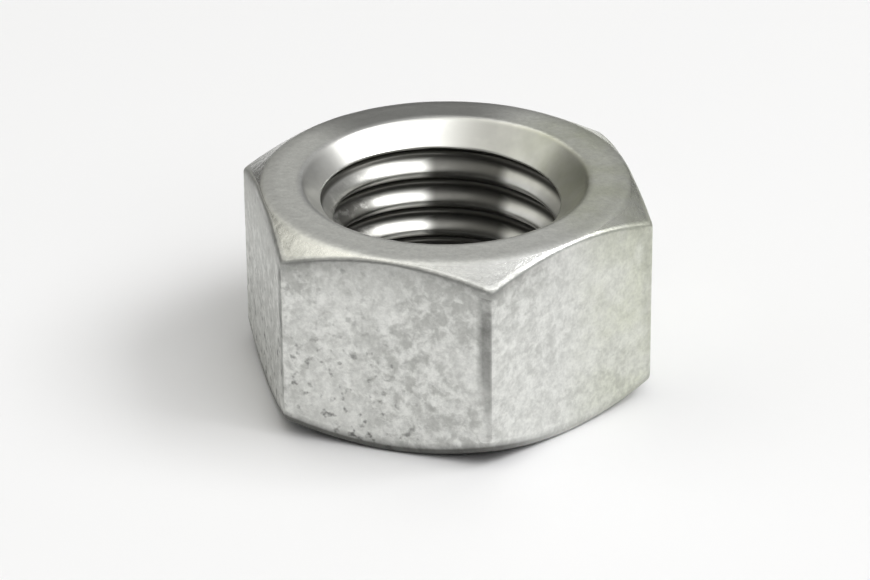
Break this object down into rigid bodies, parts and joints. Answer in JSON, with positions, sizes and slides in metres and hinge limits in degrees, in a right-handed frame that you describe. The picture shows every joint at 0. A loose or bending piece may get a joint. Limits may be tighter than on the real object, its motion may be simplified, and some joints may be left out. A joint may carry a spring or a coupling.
{
  "type": "hex nut",
  "caption": "Plain hexagon nut with chamfered ends, countersunk hole and a right-hand coarse thread, in dull galvanised steel.",
  "frame": {"origin": "centre of the bearing face, on the thread axis", "axes": "+Z along the thread axis from the bearing face to the top face, +X through a corner, +Y square to a wrench flat"},
  "size_m": [0.0328, 0.0286, 0.0163],
  "materials": {
    "galvanised_steel": "hot-dip galvanised: dull mottled grey zinc with small dark pits and brighter worn edges"
  },
  "bodies": {
    "root": {"hex_nut": "galvanised_steel"}
  },
  "joints": []
}
